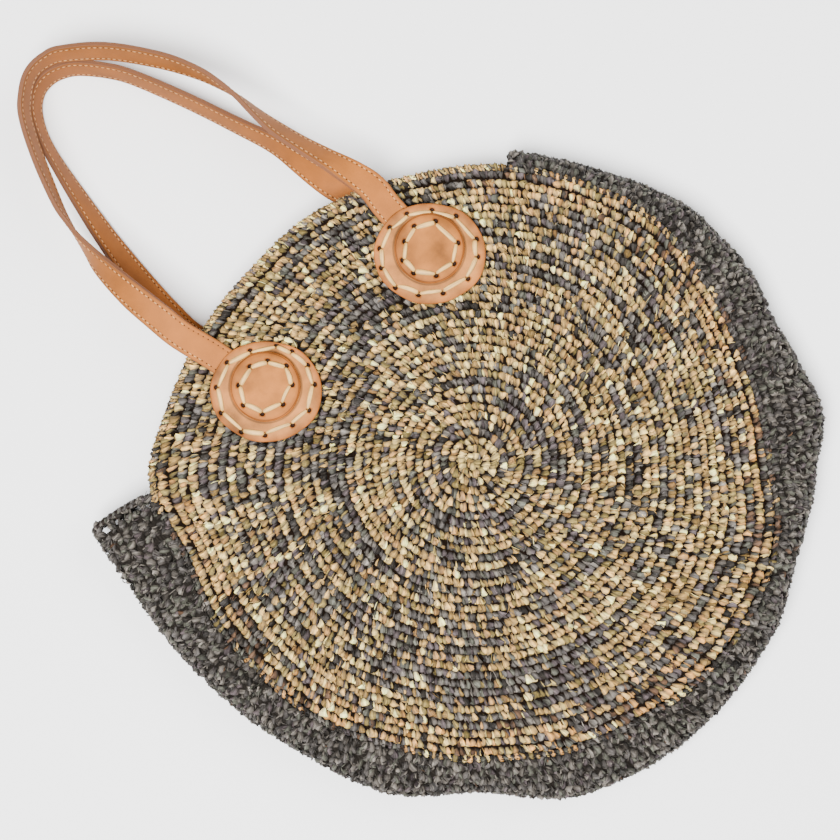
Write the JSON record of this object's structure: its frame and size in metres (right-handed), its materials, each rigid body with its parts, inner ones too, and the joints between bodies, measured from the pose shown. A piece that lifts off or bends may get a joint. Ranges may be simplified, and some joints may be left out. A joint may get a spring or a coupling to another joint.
{
  "type": "round crocheted tote bag",
  "caption": "Round crocheted straw tote with a charcoal side gusset and twin leather handles laced on through round leather medallions.",
  "frame": {"origin": "middle of the back panel's resting face, on the surface that the bag lies on", "axes": "+Z out of the front panel, +Y from the middle towards the mouth and the handles, +X to the right seen from the front"},
  "size_m": [0.4526, 0.6214, 0.0477],
  "materials": {
    "straw_mixed": "crocheted raffia straw in runs of natural and charcoal strands, matt with slight sheen",
    "straw_charcoal": "thick crocheted raffia straw, dyed charcoal, slight sheen",
    "leather_strap": "smooth vegetable tanned leather, satin",
    "leather_disc": "smooth pinkish tan leather, satin",
    "leather_cap": "smooth tan leather, satin",
    "leather_backing": "plain leather, matt",
    "lace_cream": "flat cream lace, satin",
    "thread": "light sewing thread"
  },
  "bodies": {
    "bag_back": {"back_panel": "straw_mixed", "gusset": "straw_charcoal", "back_seam": "straw_charcoal", "back_mouth_edge": "straw_mixed", "gusset_left_edge": "straw_charcoal", "gusset_right_edge": "straw_charcoal", "back_left_strap_end": "leather_strap", "back_left_base_disc": "leather_disc", "back_left_cap_disc": "leather_cap", "back_left_backing_disc": "leather_backing", "back_left_outer_lace": "lace_cream", "back_left_inner_lace": "lace_cream", "back_right_strap_end": "leather_strap", "back_right_base_disc": "leather_disc", "back_right_cap_disc": "leather_cap", "back_right_backing_disc": "leather_backing", "back_right_outer_lace": "lace_cream", "back_right_inner_lace": "lace_cream"},
    "bag_front": {"front_panel": "straw_mixed", "front_seam": "straw_charcoal", "front_mouth_edge": "straw_mixed", "front_left_strap_end": "leather_strap", "front_left_base_disc": "leather_disc", "front_left_cap_disc": "leather_cap", "front_left_backing_disc": "leather_backing", "front_left_outer_lace": "lace_cream", "front_left_inner_lace": "lace_cream", "front_right_strap_end": "leather_strap", "front_right_base_disc": "leather_disc", "front_right_cap_disc": "leather_cap", "front_right_backing_disc": "leather_backing", "front_right_outer_lace": "lace_cream", "front_right_inner_lace": "lace_cream"},
    "front_handle": {"front_handle_outer_ply": "leather_strap", "front_handle_lining_ply": "leather_strap", "front_handle_stitching": "thread"},
    "back_handle": {"back_handle_outer_ply": "leather_strap", "back_handle_lining_ply": "leather_strap", "back_handle_stitching": "thread"}
  },
  "joints": [
    {"name": "bag_mouth", "type": "hinge", "parent": "bag_back", "child": "bag_front", "pos_m": [0, -0.2, 0.034], "axis": [1, 0, 0], "range_deg": [0, 7], "deforming": ["gusset", "gusset_left_edge", "gusset_right_edge"]},
    {"name": "front_handle_swing", "type": "hinge", "parent": "bag_front", "child": "front_handle", "pos_m": [0, 0.1568, 0.041], "axis": [1, 0, 0], "range_deg": [0, 165]},
    {"name": "back_handle_swing", "type": "hinge", "parent": "bag_back", "child": "back_handle", "pos_m": [0, 0.1568, 0.0024], "axis": [1, 0, 0], "range_deg": [-165, 0]}
  ]
}
